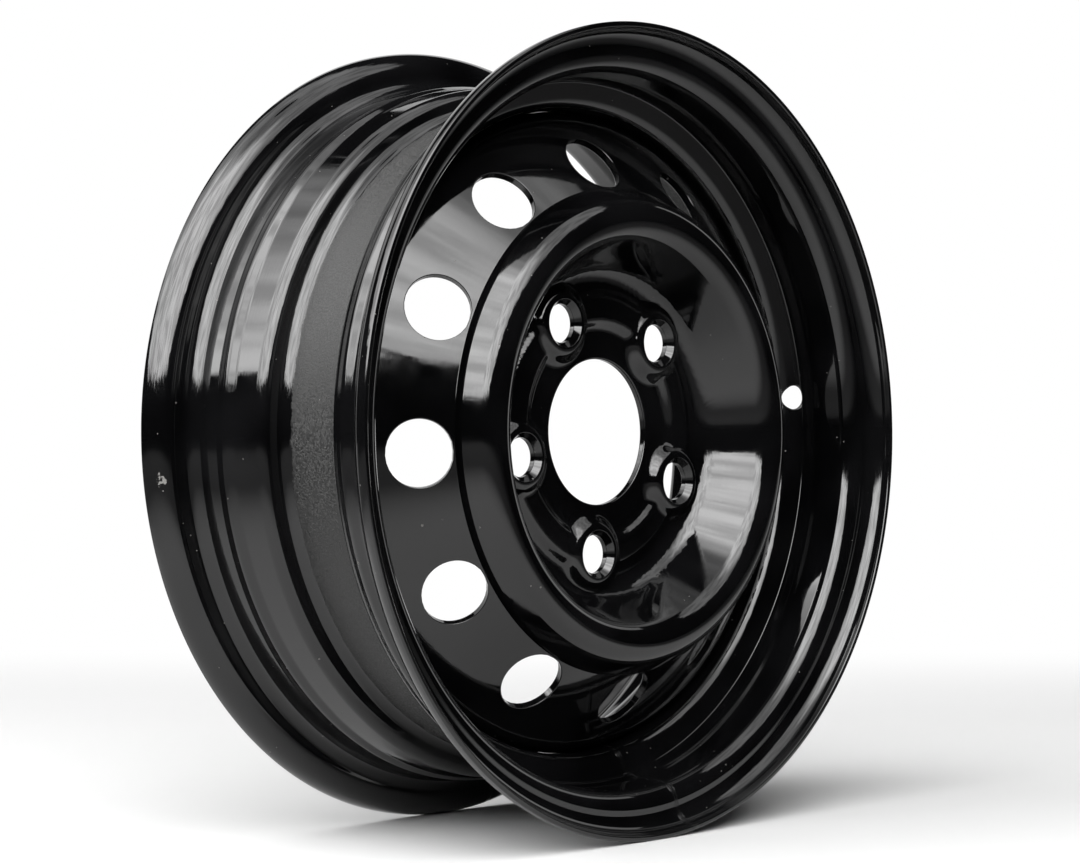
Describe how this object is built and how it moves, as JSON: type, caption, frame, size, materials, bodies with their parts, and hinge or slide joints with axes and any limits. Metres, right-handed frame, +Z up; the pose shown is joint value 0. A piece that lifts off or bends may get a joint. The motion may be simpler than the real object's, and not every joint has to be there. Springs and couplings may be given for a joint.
{
  "type": "steel wheel rim",
  "caption": "Gloss black pressed steel road wheel: rolled drop-centre rim with a welded disc, hub bore, conical bolt seats on raised bosses, round hand holes and a valve hole.",
  "frame": {"origin": "on the axle line, at the middle of the rim's width", "axes": "+Y along the axle line toward the vehicle, so the outboard face looks toward -Y; +Z up; the first hand hole lies close to +X"},
  "size_m": [0.3654, 0.1396, 0.3652],
  "materials": {
    "black_paint": "gloss black paint on steel"
  },
  "bodies": {
    "root": {"rim": "black_paint", "disc": "black_paint", "weld_beads": "black_paint"}
  },
  "joints": []
}
